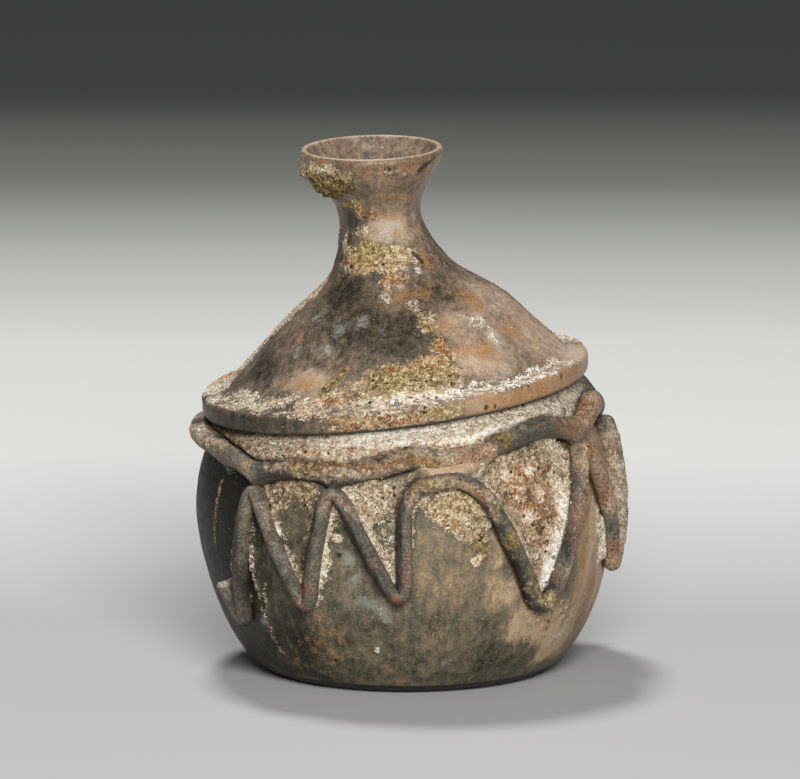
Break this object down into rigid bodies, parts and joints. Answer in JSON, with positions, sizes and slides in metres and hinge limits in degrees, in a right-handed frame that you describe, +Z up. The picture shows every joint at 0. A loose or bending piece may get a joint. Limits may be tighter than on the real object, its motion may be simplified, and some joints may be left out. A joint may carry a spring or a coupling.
{
  "type": "lidded glass jar",
  "caption": "Squat wide-mouthed blown glass jar with a collar and a zigzag trail on its shoulder, and a loose conical lid whose knob is a flared hollow neck.",
  "frame": {"origin": "centre of the footprint of the whole vessel, at the height of the surface it stands on", "axes": "+Z up through the jar to the lid's knob, +Y to the back and +X to the right as the picture shows it; the upper jar and the lid lean a little towards -X"},
  "size_m": [0.0821, 0.0837, 0.0985],
  "materials": {
    "jar_glass": "weathered dark green-grey glass under a sandy tan and brown crust, satin",
    "trail_glass": "weathered dark grey glass with reddish streaks, satin",
    "lid_glass": "weathered brown and grey glass under an ochre crust, satin"
  },
  "bodies": {
    "jar": {"jar_body": "jar_glass", "collar_trail": "trail_glass", "zigzag_trail": "trail_glass", "pontil_scar": "jar_glass"},
    "lid": {"lid_shell": "lid_glass"}
  },
  "joints": [
    {"name": "lid_lift", "type": "slide", "parent": "jar", "child": "lid", "axis": [-0.1184, 0, 0.993], "range_m": [0, 0.06]}
  ]
}
